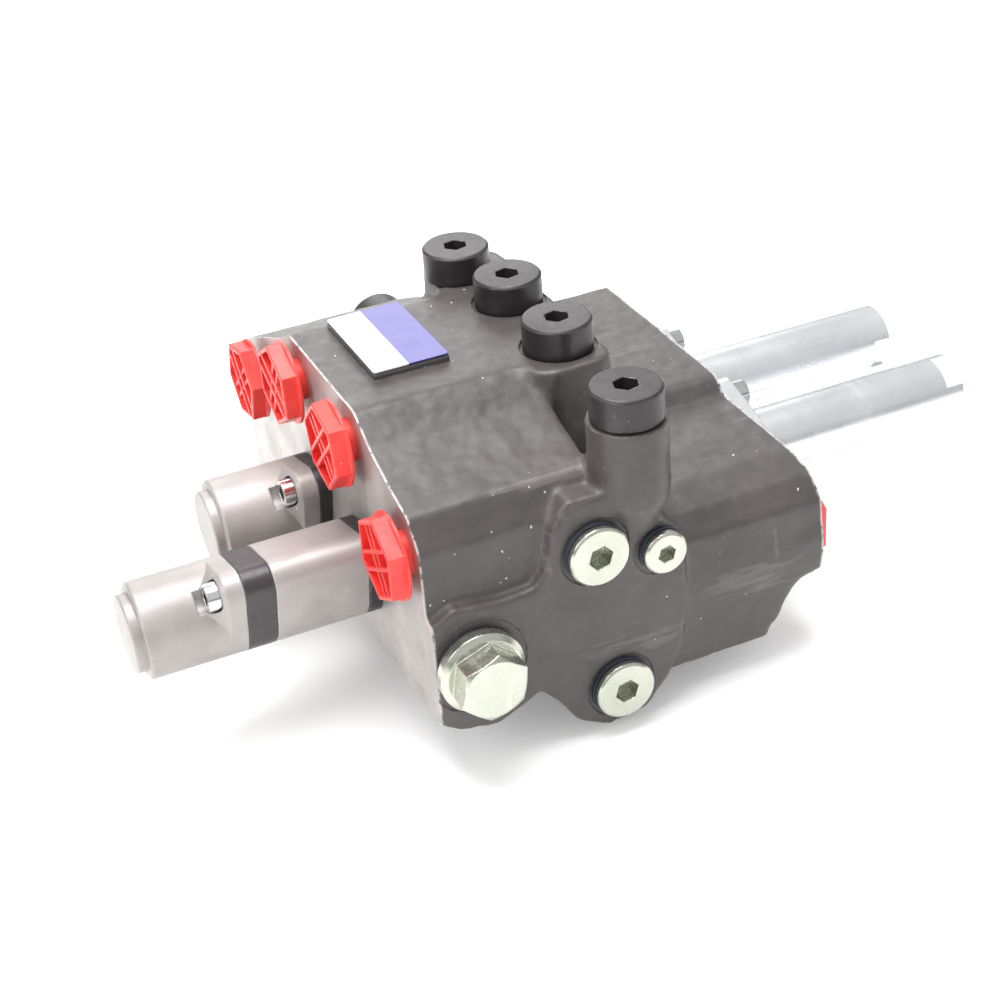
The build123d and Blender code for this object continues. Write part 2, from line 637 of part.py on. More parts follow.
with BuildPart() as sleeve_screws:
    for y in (near, far):
        for place_y, place_z in screw_places(y, 1):
            rod_x(right_face - 14, right_face + sleeve_flange, place_y, place_z, m6_shank)
            head_start = right_face + sleeve_flange
            head_end = head_start + screw_head_height
            rod_x(head_start, head_end, place_y, place_z, screw_head_radius)
            hexagon(Plane.YZ, head_end - key_depth, (place_y, place_z), screw_key, key_depth, 20,
                    Mode.SUBTRACT)
keep(sleeve_screws, "sleeve_screws")
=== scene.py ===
import math

import bmesh
import bpy
from mathutils import Matrix, Vector, noise


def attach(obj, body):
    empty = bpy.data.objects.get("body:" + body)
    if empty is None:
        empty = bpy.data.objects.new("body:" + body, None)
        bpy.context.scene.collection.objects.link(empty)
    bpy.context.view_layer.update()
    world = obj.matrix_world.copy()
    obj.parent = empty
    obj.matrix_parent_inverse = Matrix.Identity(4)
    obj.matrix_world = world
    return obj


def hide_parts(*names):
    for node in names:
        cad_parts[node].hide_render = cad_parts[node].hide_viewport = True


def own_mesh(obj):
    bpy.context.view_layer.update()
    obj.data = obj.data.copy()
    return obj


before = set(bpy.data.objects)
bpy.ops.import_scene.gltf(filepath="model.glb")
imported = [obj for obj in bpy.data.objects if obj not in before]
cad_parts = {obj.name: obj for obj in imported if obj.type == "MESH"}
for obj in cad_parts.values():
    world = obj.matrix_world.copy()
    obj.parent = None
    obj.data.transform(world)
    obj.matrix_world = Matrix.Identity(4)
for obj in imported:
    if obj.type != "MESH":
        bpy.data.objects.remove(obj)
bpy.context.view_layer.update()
scene = bpy.context.scene
mm = 0.001


def keepObject(name, mesh):
    made = bpy.data.objects.new(name, mesh)
    scene.collection.objects.link(made)
    return made


# a closed block on an outline
def prism(name, along, start, end, outline):
    order = {"x": (0, 1, 2), "y": (1, 0, 2), "z": (2, 0, 1)}[along]
    work = bmesh.new()
    rings = []
    for level in (start, end):
        ring = []
        for u, v in outline:
            spot = [0.0, 0.0, 0.0]
            spot[order[0]], spot[order[1]], spot[order[2]] = level * mm, u * mm, v * mm
            ring.append(work.verts.new(spot))
        rings.append(ring)
    work.faces.new(rings[0])
    work.faces.new(list(reversed(rings[1])))
    for i in range(len(outline)):
        j = (i + 1) % len(outline)
        work.faces.new((rings[0][i], rings[1][i], rings[1][j], rings[0][j]))
    bmesh.ops.recalc_face_normals(work, faces=work.faces)
    mesh = bpy.data.meshes.new(name)
    work.to_mesh(mesh)
    work.free()
    return keepObject(name, mesh)


def circle(centre, radius, steps=64):
    return [(centre[0] + radius * math.cos(math.tau * i / steps),
             centre[1] + radius * math.sin(math.tau * i / steps)) for i in range(steps)]


# turns the modifiers' result into the object's own mesh
def applyAll(target):
    graph = bpy.context.evaluated_depsgraph_get()
    solid = bpy.data.meshes.new_from_object(target.evaluated_get(graph))
    old = target.data
    target.modifiers.clear()
    target.data = solid
    bpy.data.meshes.remove(old)


def combine(target, tool, how):
    cut = target.modifiers.new(how, "BOOLEAN")
    cut.operation = how
    cut.solver = "MANIFOLD"
    cut.object = tool
    applyAll(target)
    gone = tool.data
    bpy.data.objects.remove(tool)
    bpy.data.meshes.remove(gone)


def joinMeshes(name, parts):
    work = bmesh.new()
    for part in parts:
        work.from_mesh(part.data)
        old = part.data
        bpy.data.objects.remove(part)
        bpy.data.meshes.remove(old)
    mesh = bpy.data.meshes.new(name)
    work.to_mesh(mesh)
    work.free()
    return keepObject(name, mesh)


cameraSet = {
    "place": (-0.2402, -0.5607, 0.4262),   # metres
    "turn": -22.158,                       # degrees round the object
    "height": 32.010,                      # degrees above the floor
    "roll": -4.559,
    "lens": 68.56,
}


def makeCamera(look):
    turn, height, roll = (math.radians(look[key]) for key in ("turn", "height", "roll"))
    back = Vector((math.sin(turn) * math.cos(height), -math.cos(turn) * math.cos(height),
                   math.sin(height)))
    right = Vector((math.cos(turn), math.sin(turn), 0))
    up = back.cross(right)
    rolledRight = right * math.cos(roll) + up * math.sin(roll)
    rolledUp = up * math.cos(roll) - right * math.sin(roll)
    data = bpy.data.cameras.new("productCamera")
    data.lens = look["lens"]
    data.sensor_width = 36
    data.clip_start = 0.01
    seat = Matrix((rolledRight, rolledUp, back)).transposed().to_4x4()
    seat.translation = look["place"]
    eye = bpy.data.objects.new("productCamera", data)
    eye.matrix_world = seat
    scene.collection.objects.link(eye)
    scene.camera = eye


lightSet = {
    "world": 0.72,
    "backdrop": 1.5,
    "darkRing": (0.03, 0.34, 0.30),   # low and high edge as the sine of elevation, and its brightness
    "panels": [   # name, place, size, power, aimed at
        ("overhead", (-0.10, 0.05, 1.05), 0.80, 14.0, (0, 0, 0.05)),
        ("leftPanel", (-1.0, -0.35, 0.75), 0.70, 4.5, (0, 0, 0.06)),
        ("backPanel", (0.25, 1.05, 0.60), 0.80, 4.0, (0, 0, 0.06)),
    ],
    "floorTone": 0.96,
    "floorGlow": 0.22,
}


def makeLights(look):
    world = bpy.data.worlds.new("softRoom")
    world.use_nodes = True
    tree = world.node_tree
    tree.nodes["Background"].inputs["Strength"].default_value = look["world"]
    toward = tree.nodes.new("ShaderNodeTexCoord")
    parts = tree.nodes.new("ShaderNodeSeparateXYZ")
    ring = tree.nodes.new("ShaderNodeValToRGB")   # a darker room low round the white tent
    low, high, tone = look["darkRing"]
    ring.color_ramp.elements[0].position, ring.color_ramp.elements[1].position = low, high
    ring.color_ramp.elements[0].color = (tone, tone * 1.05, tone * 1.12, 1)
    tree.links.new(toward.outputs["Generated"], parts.inputs[0])
    tree.links.new(parts.outputs["Z"], ring.inputs[0])
    seen = tree.nodes.new("ShaderNodeMix")        # straight past the floor's edge it stays white
    seen.data_type = "RGBA"
    seen.inputs[7].default_value = (look["backdrop"],) * 3 + (1,)
    tree.links.new(tree.nodes.new("ShaderNodeLightPath").outputs["Is Camera Ray"], seen.inputs[0])
    tree.links.new(ring.outputs["Color"], seen.inputs[6])
    tree.links.new(seen.outputs[2], tree.nodes["Background"].inputs["Color"])
    scene.world = world
    for name, place, size, power, aim in look["panels"]:
        data = bpy.data.lights.new(name, "AREA")
        data.shape = "DISK"
        data.size = size
        data.energy = power
        lamp = bpy.data.objects.new(name, data)
        lamp.location = place
        lamp.rotation_euler = (Vector(aim) - Vector(place)).to_track_quat("-Z", "Y").to_euler()
        scene.collection.objects.link(lamp)


def makeFloor(tone, glow):
    work = bmesh.new()
    bmesh.ops.create_grid(work, x_segments=1, y_segments=1, size=6)
    mesh = bpy.data.meshes.new("studioFloor")
    work.to_mesh(mesh)
    work.free()
    floor = keepObject("studioFloor", mesh)
    paper = bpy.data.materials.new("studioPaper")
    paper.use_nodes = True
    shader = paper.node_tree.nodes["Principled BSDF"]
    shader.inputs["Base Color"].default_value = (tone, tone, tone, 1)
    shader.inputs["Roughness"].default_value = 0.7
    shader.inputs["Specular IOR Level"].default_value = 0.2
    shader.inputs["Emission Color"].default_value = (1, 1, 1, 1)
    shader.inputs["Emission Strength"].default_value = glow
    mesh.materials.append(paper)


makeCamera(cameraSet)
makeLights(lightSet)
makeFloor(lightSet["floorTone"], lightSet["floorGlow"])
scene.view_settings.view_transform = "Standard"
print("camera, light and floor ready")


def newGroup(name, inputs, outputs):
    tree = bpy.data.node_groups.new(name, "ShaderNodeTree")
    for label, kind, value in inputs:
        socket = tree.interface.new_socket(label, in_out="INPUT", socket_type=kind)
        socket.default_value = value
    for label, kind in outputs:
        tree.interface.new_socket(label, in_out="OUTPUT", socket_type=kind)
    return tree, tree.nodes.new("NodeGroupInput"), tree.nodes.new("NodeGroupOutput")


# settings are the node's own properties, values its sockets by name, or n0, n1 by number
def addNode(tree, kind, settings=None, **values):
    node = tree.nodes.new(kind)
    for key, value in (settings or {}).items():
        setattr(node, key, value)
    for key, value in values.items():
        numbered = key[0] == "n" and key[1:].isdigit()
        socket = node.inputs[int(key[1:]) if numbered else key.replace("_", " ")]
        if isinstance(value, bpy.types.NodeSocket):
            tree.links.new(value, socket)
        else:
            socket.default_value = value
    return node


def objectPlace(tree):
    return addNode(tree, "ShaderNodeTexCoord").outputs["Object"]


def mathNode(tree, how, *values, clamp=False):
    node = addNode(tree, "ShaderNodeMath", {"operation": how, "use_clamp": clamp})
    for i, value in enumerate(values):
        if isinstance(value, bpy.types.NodeSocket):
            tree.links.new(value, node.inputs[i])
        else:
            node.inputs[i].default_value = value
    return node.outputs[0]


def mapRange(tree, value, low, high, newLow=0.0, newHigh=1.0):
    return addNode(tree, "ShaderNodeMapRange", {"interpolation_type": "SMOOTHSTEP"}, Value=value,
                   From_Min=low, From_Max=high, To_Min=newLow, To_Max=newHigh).outputs[0]


# lumps and fine grit, scales in features per metre
def makeGrainGroup():
    tree, given, out = newGroup(
        "castGrain",
        [("Lump Scale", "NodeSocketFloat", 200.0), ("Grit Scale", "NodeSocketFloat", 1500.0),
         ("Grit Share", "NodeSocketFloat", 0.3)],
        [("Height", "NodeSocketFloat"), ("Variation", "NodeSocketFloat")])
    place = objectPlace(tree)
    lumps = addNode(tree, "ShaderNodeTexNoise", Vector=place, Scale=given.outputs["Lump Scale"],
                    Detail=4.0, Roughness=0.55)
    grit = addNode(tree, "ShaderNodeTexNoise", Vector=place, Scale=given.outputs["Grit Scale"],
                   Detail=3.0, Roughness=0.6)
    share = addNode(tree, "ShaderNodeMix", {"data_type": "FLOAT"}, n0=given.outputs["Grit Share"],
                    n2=lumps.outputs[0], n3=grit.outputs[0])
    tree.links.new(share.outputs[0], out.inputs["Height"])
    broad = addNode(tree, "ShaderNodeTexNoise", Vector=place, Scale=38.0, Detail=6.0, Roughness=0.6)
    tree.links.new(mapRange(tree, broad.outputs[0], 0.33, 0.68), out.inputs["Variation"])
    return tree


# mask of the corners that handling has rubbed bright
def makeEdgeGroup():
    tree, given, out = newGroup(
        "edgeWear",
        [("Width", "NodeSocketFloat", 0.0006), ("Amount", "NodeSocketFloat", 0.6),
         ("Breakup Scale", "NodeSocketFloat", 260.0)],
        [("Mask", "NodeSocketFloat"), ("Rounded Normal", "NodeSocketVector")])
    soft = addNode(tree, "ShaderNodeBevel", {"samples": 6}, Radius=given.outputs["Width"])
    flat = addNode(tree, "ShaderNodeNewGeometry").outputs["Normal"]
    facing = addNode(tree, "ShaderNodeVectorMath", {"operation": "DOT_PRODUCT"}, n0=soft.outputs[0], n1=flat)
    bend = mapRange(tree, facing.outputs["Value"], 0.985, 0.86)
    patchy = addNode(tree, "ShaderNodeTexNoise", Vector=objectPlace(tree),
                     Scale=given.outputs["Breakup Scale"], Detail=4.0, Roughness=0.65)
    broken = mapRange(tree, patchy.outputs[0], 0.38, 0.62)
    worn = mathNode(tree, "MULTIPLY", mathNode(tree, "MULTIPLY", bend, broken), given.outputs["Amount"])
    tree.links.new(worn, out.inputs["Mask"])
    tree.links.new(soft.outputs[0], out.inputs["Rounded Normal"])
    return tree


# long hair scratches in two directions
def makeScratchGroup():
    tree, given, out = newGroup(
        "fineScratches",
        [("Scale", "NodeSocketFloat", 120.0), ("Amount", "NodeSocketFloat", 0.4)],
        [("Mask", "NodeSocketFloat")])
    place = objectPlace(tree)
    masks = []
    for turn, stretch in (((0.3, 0.5, 0.9), (1.0, 0.05, 0.3)), ((1.1, 0.2, -0.6), (0.06, 1.0, 0.4))):
        turned = addNode(tree, "ShaderNodeMapping", Vector=place, Rotation=turn, Scale=stretch)
        hair = addNode(tree, "ShaderNodeTexNoise", Vector=turned.outputs[0], Scale=given.outputs["Scale"],
                       Detail=5.0, Roughness=0.7)
        masks.append(mapRange(tree, hair.outputs[0], 0.64, 0.70))
    both = mathNode(tree, "MAXIMUM", *masks)
    tree.links.new(mathNode(tree, "MULTIPLY", both, given.outputs["Amount"]), out.inputs["Mask"])
    return tree


# soft oily or dusty patches with small specks
def makeStainGroup():
    tree, given, out = newGroup(
        "handlingStains",
        [("Patch Scale", "NodeSocketFloat", 45.0), ("Speck Scale", "NodeSocketFloat", 420.0),
         ("Speck Cut", "NodeSocketFloat", 0.76)],
        [("Patches", "NodeSocketFloat"), ("Specks", "NodeSocketFloat")])
    place = objectPlace(tree)
    patches = addNode(tree, "ShaderNodeTexNoise", Vector=place, Scale=given.outputs["Patch Scale"],
                      Detail=5.0, Roughness=0.65, Distortion=0.8)
    tree.links.new(mapRange(tree, patches.outputs[0], 0.52, 0.72), out.inputs["Patches"])
    dots = addNode(tree, "ShaderNodeTexNoise", Vector=place, Scale=given.outputs["Speck Scale"],
                   Detail=1.0, Roughness=0.4)
    cut = mathNode(tree, "SUBTRACT", dots.outputs[0], given.outputs["Speck Cut"])
    tree.links.new(mathNode(tree, "MULTIPLY", cut, 30.0, clamp=True), out.inputs["Specks"])
    return tree


grainGroup = makeGrainGroup()
edgeGroup = makeEdgeGroup()
scratchGroup = makeScratchGroup()
stainGroup = makeStainGroup()
print("shader groups ready")


def placeGroup(tree, group, **values):
    node = addNode(tree, "ShaderNodeGroup", {"node_tree": group})
    for key, value in values.items():
        node.inputs[key.replace("_", " ")].default_value = value
    return node


def mixColour(tree, factor, first, second):
    node = addNode(tree, "ShaderNodeMix", {"data_type": "RGBA"}, n0=factor, n6=first, n7=second)
    return node.outputs[2]


# a screen colour, 0 to 255, as linear light
def shade(red, green, blue):
    return tuple(((value / 255 + 0.055) / 1.055) ** 2.4 for value in (red, green, blue)) + (1.0,)


finishSet = {
    "castPaint": dict(dark=shade(68, 64, 63), light=shade(78, 73, 72), worn=shade(176, 170, 166),
                      stain=shade(84, 79, 77), metallic=0.0, rough=(0.34, 0.48), lumps=260.0, grit=1700.0,
                      share=0.35, bump=0.34, depth=0.00040, edge=0.0009, wear=0.30, scratch=0.12,
                      specks=0.785, speckTone=shade(190, 186, 182)),
    "machinedIron": dict(dark=shade(164, 160, 157), light=shade(188, 184, 181), worn=shade(230, 228, 226),
                         stain=shade(150, 143, 138), metallic=0.55, rough=(0.34, 0.52), lumps=420.0,
                         grit=2600.0, share=0.5, bump=0.10, depth=0.00012, edge=0.0005, wear=0.6,
                         scratch=0.30, specks=0.80, speckTone=shade(120, 112, 106)),
    "blackOxide": dict(dark=shade(56, 53, 55), light=shade(72, 68, 70), worn=shade(150, 144, 142),
                       stain=shade(70, 66, 66), metallic=0.55, rough=(0.30, 0.46), lumps=600.0, grit=2400.0,
                       share=0.5, bump=0.10, depth=0.00012, edge=0.0007, wear=0.75, scratch=0.22,
                       specks=0.79, speckTone=shade(140, 134, 130)),
    "zincPlate": dict(dark=shade(182, 185, 172), light=shade(194, 196, 184), worn=shade(250, 250, 246),
                      stain=shade(180, 182, 166), metallic=0.92, rough=(0.18, 0.32), lumps=300.0, grit=2400.0,
                      share=0.4, bump=0.06, depth=0.00010, edge=0.0006, wear=0.5, scratch=0.14,
                      specks=0.81, speckTone=shade(150, 148, 136)),
    "zincTube": dict(dark=shade(214, 217, 220), light=shade(226, 228, 231), worn=shade(250, 250, 250),
                     stain=shade(214, 214, 210), metallic=0.85, rough=(0.26, 0.31), lumps=140.0, grit=2200.0,
                     share=0.25, bump=0.05, depth=0.00012, edge=0.0005, wear=0.5, scratch=0.18,
                     specks=0.83, speckTone=shade(186, 176, 160)),
    "brightScrew": dict(dark=shade(196, 198, 200), light=shade(226, 228, 230), worn=shade(250, 250, 250),
                        stain=shade(170, 170, 170), metallic=1.0, rough=(0.10, 0.22), lumps=500.0,
                        grit=2400.0, share=0.4, bump=0.05, depth=0.00008, edge=0.0004, wear=0.5,
                        scratch=0.10, specks=0.82, speckTone=shade(110, 108, 106)),
    "castAluminium": dict(dark=shade(158, 152, 149), light=shade(172, 167, 164), worn=shade(222, 219, 216),
                          stain=shade(150, 144, 141), metallic=0.35, rough=(0.38, 0.52), lumps=900.0,
                          grit=3200.0, share=0.6, bump=0.12, depth=0.00012, edge=0.0008, wear=0.55,
                          scratch=0.14, specks=0.80, speckTone=shade(236, 234, 232)),
    "sealRubber": dict(dark=shade(38, 44, 54), light=shade(56, 62, 74), worn=shade(84, 88, 96),
                       stain=shade(70, 76, 84), metallic=0.0, rough=(0.45, 0.62), lumps=500.0, grit=2000.0,
                       share=0.5, bump=0.08, depth=0.00010, edge=0.0004, wear=0.3, scratch=0.05,
                       specks=0.82, speckTone=shade(120, 120, 120)),
    "groundSteel": dict(dark=shade(170, 172, 176), light=shade(200, 202, 205), worn=shade(235, 236, 238),
                        stain=shade(150, 150, 150), metallic=1.0, rough=(0.14, 0.26), lumps=700.0,
                        grit=3000.0, share=0.5, bump=0.04, depth=0.00008, edge=0.0004, wear=0.4,
                        scratch=0.16, specks=0.82, speckTone=shade(100, 100, 100)),
    "springSteel": dict(dark=shade(70, 72, 78), light=shade(104, 106, 112), worn=shade(180, 180, 182),
                        stain=shade(110, 96, 84), metallic=0.9, rough=(0.26, 0.42), lumps=800.0, grit=3000.0,
                        share=0.5, bump=0.06, depth=0.00008, edge=0.0003, wear=0.3, scratch=0.10,
                        specks=0.80, speckTone=shade(150, 140, 130)),
    "redPlastic": dict(dark=shade(224, 52, 49), light=shade(244, 76, 68), worn=shade(255, 140, 128),
                       stain=shade(200, 40, 44), metallic=0.0, rough=(0.30, 0.42), lumps=260.0, grit=2600.0,
                       share=0.3, bump=0.05, depth=0.00010, edge=0.0006, wear=0.35, scratch=0.10,
                       specks=0.82, speckTone=shade(255, 190, 180)),
}


blendSet = {
    "stainShare": 0.45,
    "scratchRough": 0.12,     # added roughness in a scratch
    "scratchDepth": 0.25,
    "grainLow": 0.3,          # range of the grain that spans the roughness
    "grainHigh": 0.7,
}


def makeFinish(name, look):
    finish = bpy.data.materials.new(name)
    finish.use_nodes = True
    tree = finish.node_tree
    shader = tree.nodes["Principled BSDF"]
    grain = placeGroup(tree, grainGroup, Lump_Scale=look["lumps"], Grit_Scale=look["grit"],
                       Grit_Share=look["share"])
    edges = placeGroup(tree, edgeGroup, Width=look["edge"], Amount=look["wear"])
    hairs = placeGroup(tree, scratchGroup, Amount=look["scratch"])
    marks = placeGroup(tree, stainGroup, Speck_Cut=look["specks"])
    colour = mixColour(tree, grain.outputs["Variation"], look["dark"], look["light"])
    softStain = mathNode(tree, "MULTIPLY", marks.outputs["Patches"], blendSet["stainShare"])
    colour = mixColour(tree, softStain, colour, look["stain"])
    colour = mixColour(tree, hairs.outputs["Mask"], colour, look["worn"])
    colour = mixColour(tree, marks.outputs["Specks"], colour, look["speckTone"])
    colour = mixColour(tree, edges.outputs["Mask"], colour, look["worn"])
    tree.links.new(colour, shader.inputs["Base Color"])
    low, high = look["rough"]
    roughness = mapRange(tree, grain.outputs["Height"], blendSet["grainLow"], blendSet["grainHigh"],
                         low, high)
    dulled = mathNode(tree, "MULTIPLY", hairs.outputs["Mask"], blendSet["scratchRough"])
    tree.links.new(mathNode(tree, "ADD", roughness, dulled), shader.inputs["Roughness"])
    shader.inputs["Metallic"].default_value = look["metallic"]
    height = mathNode(tree, "SUBTRACT", grain.outputs["Height"],
                      mathNode(tree, "MULTIPLY", hairs.outputs["Mask"], blendSet["scratchDepth"]))
    bump = addNode(tree, "ShaderNodeBump", Strength=look["bump"], Distance=look["depth"], Height=height,
                   Normal=edges.outputs["Rounded Normal"])
    tree.links.new(bump.outputs[0], shader.inputs["Normal"])
    return finish


finishes = {name: makeFinish(name, look) for name, look in finishSet.items()}


# where the facing cut at both ends of the casting has chipped the paint
chipSet = {"start": 0.0739, "end": 0.0749, "scale": 330.0, "tone": shade(206, 202, 199)}


def chipPaint(finish, look):
    tree = finish.node_tree
    shader = tree.nodes["Principled BSDF"]
    painted = shader.inputs["Base Color"].links[0].from_socket
    place = objectPlace(tree)
    along = addNode(tree, "ShaderNodeSeparateXYZ", Vector=place).outputs["X"]
    nearEnd = mapRange(tree, mathNode(tree, "ABSOLUTE", along), look["start"], look["end"])
    ragged = addNode(tree, "ShaderNodeTexNoise", Vector=place, Scale=look["scale"], Detail=5.0, Roughness=0.7)
    chips = mathNode(tree, "MULTIPLY", nearEnd, mapRange(tree, ragged.outputs[0], 0.36, 0.52))
    tree.links.new(mixColour(tree, chips, painted, look["tone"]), shader.inputs["Base Color"])


chipPaint(finishes["castPaint"], chipSet)
print("finishes ready:", len(finishes))


# the label: a white half and a violet half behind a clear film, left blank
labelSet = {
    "violet": shade(84, 80, 160),
    "split": -0.0478,      # metres, where the two colours meet
}


def makeLabel(look):
    finish = makeFinish("labelFoil", dict(
        dark=shade(206, 209, 220), light=shade(216, 218, 228), worn=shade(250, 250, 252),
        stain=shade(214, 216, 226), metallic=0.0, rough=(0.22, 0.34), lumps=120.0, grit=2000.0,
        share=0.2, bump=0.03, depth=0.0001,
        edge=0.0003, wear=0.3, scratch=0.12, specks=0.80, speckTone=shade(160, 160, 170)))
    tree = finish.node_tree
    shader = tree.nodes["Principled BSDF"]
    shader.inputs["Coat Weight"].default_value = 0.25
    shader.inputs["Coat Roughness"].default_value = 0.08
    plain = shader.inputs["Base Color"].links[0].from_socket
    along = addNode(tree, "ShaderNodeSeparateXYZ", Vector=objectPlace(tree)).outputs["X"]
    half = mapRange(tree, along, look["split"] - 0.0001, look["split"] + 0.0001)
    printed = mixColour(tree, half, (1, 1, 1, 1), look["violet"])
    ink = addNode(tree, "ShaderNodeMix", {"data_type": "RGBA", "blend_type": "MULTIPLY"}, n0=1.0, n6=plain,
                  n7=printed)
    tree.links.new(ink.outputs[2], shader.inputs["Base Color"])
    return finish


finishes["labelFoil"] = makeLabel(labelSet)


castingSet = {
    "voxel": 1.15,           # millimetres
    "smoothing": 15,
    "lumpHeight": 0.22,
    "lumpSize": 7.0,
    "faceHalf": 75.0,        # the two machined ends
    "overrun": 6.0,
    "leftEnd": -9.0,
    "deck": 120.0,
    "seatDepth": 1.3,
    "leftOutline": [(-82, 26), (-82.5, 91), (-75, 101.5), (-60, 105.8), (-45, 111.5), (-32, 120), (33, 120),
                    (47, 112.5), (69, 103.3), (90, 94), (94, 78), (104, 54), (104, 26)],
    "rightOutline": [(-82, 12), (-86, 44), (-84, 66), (-76, 73), (-64, 75.5), (-17, 75.5), (-11, 81.5),
                     (78, 81.5), (90, 72), (95, 12)],
    "stepOutline": [(56, -8), (56, 16), (60, 21), (62, 28), (66, 34), (76, 37.5), (92, 37.5), (92, -8)],
    "padOutline": [(-81, 30), (-68, 21), (-54, 18.5), (-44, 23), (-38, 26.5), (-31, 19), (-24, 8), (-13, 2),
                   (2, 4), (11, 14), (17.5, 26), (19.5, 48), (18.5, 73), (12, 81), (3, 84), (-3, 90),
                   (-12, 97), (-24, 98), (-30, 90), (-32.5, 76), (-37, 69), (-50, 68), (-67, 70.5),
                   (-81, 62)],
    "backOutline": [(-81, 26), (10, 20), (16, 40), (13, 70), (1, 86), (-27, 86), (-36, 72), (-50, 62),
                    (-81, 56)],
    "ridge": [(-13, -35), (-11, -40), (-6, -43), (12, -43), (17, -40), (19, -35), (19, 56), (17, 61),
              (12, 63), (-6, 63), (-11, 61), (-13, 56)],
    "padFace": -87.5,
    "backFace": 104.0,
    "boss": (2.2, -80.1),
    "bossRadius": 13.4,
    "sideBoss": (64.0, 48.0, 22.2),
    "footPitch": 45.0,
    "footRadius": 13.0,
    "labelSeat": [(-61, -16.2), (-32.6, -16.2), (-32.6, 31.2), (-61, 31.2)],
    "labelLift": 2.6,
    "topPlugs": [(-2.1, 48.3), (4.2, 15.7), (4.3, -25.0), (2.2, -80.1)],
    "zincPlugs": [(-15.3, 76.4, 7.5, -72), (-7.7, 18.4, 7.5, -72), (9.2, 69.7, 5.0, -74)],
    "relief": (-60.2, 46.2),
    "backPlug": (-13.6, 73.7),
    "spools": (-25.0, 25.0),
    "spoolHeight": 56.0,
    "spoolBore": 9.03,
    "groove": 12.5,          # radius of the grooves and the seal seats
    "grooves": (-52, -31, -10, 11, 32, 53),
    "topSeat": 13.7,
    "topThread": 9.0,
    "checkBore": 6.5,
    "sideSeatRim": 5.2,
    "reliefSeat": 18.0,
    "reliefThread": 11.0,
    "reliefBore": 8.0,
    "backSeat": 15.5,
    "earScrew": 14.5,
    "screwHole": 3.0,
    "port": 7.5,
    "portDepth": 17,
    "leftPorts": [(-25, 106), (25, 106), (-70.3, 86.5), (70.3, 86.5)],
    "footThread": 3.4,
    "sharpAngle": 32,        # degrees
}


# the casting's blocks, longer than the real one where it is machined
def rawCasting(look):
    left, right = -look["faceHalf"] - look["overrun"], look["faceHalf"] + look["overrun"]
    boss, radius = look["boss"], look["bossRadius"]
    blocks = [
        prism("block", "x", left, look["leftEnd"], look["leftOutline"]),
        prism("block", "x", look["leftEnd"] - 4, right, look["rightOutline"]),
        prism("block", "z", 66, look["deck"], look["ridge"]),
        prism("block", "z", 92, look["deck"] + 1, circle(boss, radius + 0.4)),
        prism("block", "y", look["padFace"] - 0.4, -50, look["padOutline"]),
        prism("block", "y", 60, look["backFace"] + 0.3, look["backOutline"]),
    ]
    for i in range(8):       # the boss runs out in a taper below
        blocks.append(prism("block", "z", 92 - 2.8 * (i + 1), 92.6 - 2.8 * i, circle(boss, radius - 1.1 * i)))
    y, z, sideRadius = look["sideBoss"]
    for side in (-1, 1):
        blocks.append(prism("block", "x", 50, right, circle((side * y, z), sideRadius)))
        for other in (-1, 1):
            foot = (side * look["footPitch"], other * look["footPitch"])
            blocks.append(prism("block", "z", -6, 40, circle(foot, look["footRadius"])))
    step = prism("step", "y", -120, 120, look["stepOutline"])
    combine(blocks[1], step, "DIFFERENCE")
    return joinMeshes("valveCasting", blocks)


# the uneven sand-cast skin
def lumpSurface(body, look):
    mesh = body.data
    size = look["lumpSize"] * mm
    places = [vertex.co.copy() for vertex in mesh.vertices]
    normals = [vertex.normal.copy() for vertex in mesh.vertices]
    moved = []
    for place, normal in zip(places, normals):
        spot = place / size
        swell = noise.fractal(spot, 0.9, 2.1, 3) + 0.5 * noise.noise(spot * 0.35)
        moved.extend(place + normal * (swell * look["lumpHeight"] * mm))
    mesh.vertices.foreach_set("co", moved)
    mesh.update()


